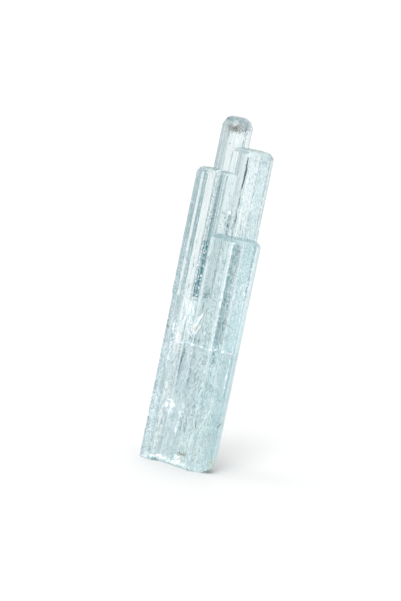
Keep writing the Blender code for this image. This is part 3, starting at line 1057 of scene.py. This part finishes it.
def beryl():
    """Clear aquamarine: it bends and tints light, and its surface has growth lines and pits."""
    material, tree, shader = new_material("aquamarine_clear")
    place = node(tree, "TexCoord").outputs["Object"]
    x, y, z = node(tree, "SeparateXYZ", Vector=place).outputs
    facing = node(tree, "SeparateXYZ", Vector=node(tree, "NewGeometry").outputs["True Normal"])
    lower = smooth(tree, z, FRACTURE_HEIGHT - LOWER_BLUR, FRACTURE_HEIGHT + LOWER_BLUR, 1, 0)
    front = maths(tree, "MULTIPLY", smooth(tree, y, *FRONT_BEFORE, 1, 0), smooth(tree, x, *FRONT_RIGHT_OF))
    end = smooth(tree, facing.outputs[2], *END_FACES)

    rough = maths(tree, "MAXIMUM", maths(tree, "MULTIPLY", lower, LOWER_ROUGHNESS),
                  maths(tree, "MULTIPLY", front, FRONT_ROUGHNESS))
    rough = maths(tree, "MULTIPLY", maths(tree, "ADD", rough, CLEAR_ROUGHNESS),
                  maths(tree, "MULTIPLY", noise(tree, place, DULL_STREAKS), DULL_VARY))
    rough = maths(tree, "MAXIMUM", rough, maths(tree, "MULTIPLY", end, END_ROUGHNESS))

    grooves = node(tree, "Bump", Strength=1, Distance=GROOVE_DEPTH,
                   Height=noise(tree, place, GROOVES, detail=2))
    strength = maths(tree, "ADD", maths(tree, "MULTIPLY", lower, LINE_LOWER), LINE_STRENGTH)
    lines = node(tree, "Bump", Strength=strength, Distance=LINE_DEPTH,
                 Height=noise(tree, place, LINES, detail=2), Normal=grooves.outputs[0])
    matt = maths(tree, "MAXIMUM", maths(tree, "MULTIPLY", front, FRONT_MATT),
                 maths(tree, "MULTIPLY", lower, LOWER_MATT))
    matt = maths(tree, "MULTIPLY", maths(tree, "MAXIMUM", matt, end), PIT_MATT)
    pits = node(tree, "Bump", Strength=maths(tree, "ADD", matt, PIT_STRENGTH), Distance=PIT_DEPTH,
                Height=noise(tree, place, PITS, detail=4), Normal=lines.outputs[0])

    set_inputs(shader, Base_Color=(1, 1, 1, 1), IOR=BERYL_IOR, Transmission_Weight=1, Roughness=rough,
               Normal=pits.outputs[0])
    absorb = node(tree, "VolumeAbsorption", Color=ABSORB_COLOUR, Density=ABSORB_DENSITY)
    set_inputs(tree.nodes["Material Output"], Volume=absorb.outputs[0])
    return material


# What each kind of flaw, and each kind of painted shade, looks like: its darker and its paler colour,
# the size of the mottling in mm, its roughness, and its glow, painted light that stands for the light that
# white flaws gather.
LOOKS = {
    "frost": ((0.84, 0.87, 0.93), (0.98, 0.97, 1), 0.3, 0.35, 0.66),
    "haze": ((0.66, 0.82, 0.86), (0.93, 0.97, 0.98), 0.6, 0.4, 0.12),
    "blue_streak": ((0.16, 0.34, 0.4), (0.4, 0.6, 0.66), 0.4, 0.3, 0),
    "gold_veil": ((0.8, 0.62, 0.36), (0.98, 0.96, 0.9), 0.5, 0.25, 0.22),
    "iron_stain": ((0.34, 0.24, 0.12), (0.8, 0.7, 0.48), 0.25, 0.55, 0),
    "dark_crack": ((0.03, 0.05, 0.05), (0.2, 0.25, 0.24), 0.3, 0.4, 0),
    "milky": ((0.74, 0.86, 0.9), (0.93, 0.95, 0.98), 0.6, 0.4, 0.3),
    # painted shade: grey-teal chips
    "painted_shade": ((0.52, 0.7, 0.74), (0.7, 0.85, 0.88), 0.5, 0.35, 0),
    # painted shade: dark teal chips
    "teal_painted_shade": ((0.15, 0.47, 0.52), (0.28, 0.63, 0.68), 0.6, 0.35, 0),
    "end_frost": ((0.62, 0.79, 0.82), (0.8, 0.92, 0.94), 0.8, 0.45, 0.12),
    "green_haze": ((0.66, 0.8, 0.72), (0.93, 0.97, 0.88), 0.5, 0.4, 0.14),
    "splinters": ((0.78, 0.86, 0.84), (0.98, 0.99, 0.96), 0.2, 0.3, 0.5),
    "smoky": ((0.1, 0.1, 0.07), (0.5, 0.52, 0.47), 0.2, 0.3, 0),
    # painted shade in the groove: dark rough grains
    "painted_groove_shade": ((0.02, 0.2, 0.24), (0.3, 0.66, 0.72), 0.22, 0.25, 0),
}
MOTTLE_TALL = 1.6  # the mottling is this much longer along the crystal
MOTTLE_EDGES = (0.35, 0.65)
GRAIN_SHARE = 4  # the bumps are this many times smaller than the mottling
GRAIN_STRENGTH, GRAIN_DEPTH = 0.5, 0.01 * MM


def mottled(name, dark, pale, size, roughness, glow):
    """A material for flaws and for painted shade, that varies between two colours."""
    size *= MM
    material, tree, shader = new_material("aquamarine_" + name)
    place = node(tree, "TexCoord").outputs["Object"]
    share = smooth(tree, noise(tree, place, (size, size, size * MOTTLE_TALL)), *MOTTLE_EDGES)
    grain = node(tree, "Bump", Strength=GRAIN_STRENGTH, Distance=GRAIN_DEPTH,
                 Height=noise(tree, place, (size / GRAIN_SHARE,) * 3))
    set_inputs(shader, Base_Color=mix_colours(tree, share, (*dark, 1), (*pale, 1)), Roughness=roughness,
               IOR=BERYL_IOR, Normal=grain.outputs[0], Emission_Color=(*pale, 1), Emission_Strength=glow)
    return material


# ---------------------------------------- putting it together

def place_crystal():
    """Puts the clear crystal in the place of the solid, and gives its surface, to test against."""
    cluster = grow_crystal()
    mesh = cluster.data
    cad_low, cad_high = cad_box
    low = Vector([min(v.co[i] for v in mesh.vertices) for i in range(3)])
    high = Vector([max(v.co[i] for v in mesh.vertices) for i in range(3)])
    shift = (cad_low + cad_high - low - high) / 2
    shift.z = 0
    mesh.transform(Matrix.Translation(shift))
    mesh.materials.clear()
    mesh.materials.append(beryl())
    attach(cluster, "root")
    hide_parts(NODE)
    return BVHTree.FromPolygons([v.co for v in mesh.vertices], [p.vertices for p in mesh.polygons])


# Each piece made of clouds, with its clouds, the seed of its random numbers and its look.
CLOUD_PIECES = (
    ("white_clouds", WHITE_CLOUDS, 41, "frost"),
    ("blue_streaks", BLUE_STREAKS, 43, "blue_streak"),
    ("milky_streaks", MILKY_CLOUDS, 44, "milky"),
    # painted shade
    ("painted_shade_streaks", PAINTED_SHADE_CLOUDS, 47, "painted_shade"),
    # painted shade
    ("teal_painted_shade", TEAL_PAINTED_SHADE, 48, "teal_painted_shade"),
    ("smoky_patch", SMOKY_CLOUDS, 45, "smoky"),
)


def main():
    make_camera()
    make_world()
    make_floor()
    for name, lamp in LAMPS.items():
        distant_light(name, *lamp)
    shell = place_crystal()
    looks = {name: mottled(name, *look) for name, look in LOOKS.items()}
    for name, places, seed, look in CLOUD_PIECES:
        clouds(name, places, seed, looks[look], shell)
    frosted_ends(looks["end_frost"], shell)
    haze(looks["haze"], shell)
    fracture(looks["milky"], shell)
    clouds("green_haze", GREEN_CLOUDS, 46, looks["green_haze"], shell)
    cracks("white_cracks", WHITE_CRACKS, 27, looks["frost"])
    cracks("gold_cracks", GOLD_CRACKS, 28, looks["gold_veil"])
    cracks("dark_cracks", DARK_CRACKS, 39, looks["dark_crack"])
    specks(looks["dark_crack"])
    broken_rim(looks["splinters"], shell)
    stains(looks["iron_stain"], shell)
    # painted shade and painted glints in the groove
    groove_painted_shade(looks["painted_groove_shade"], looks["frost"])


main()
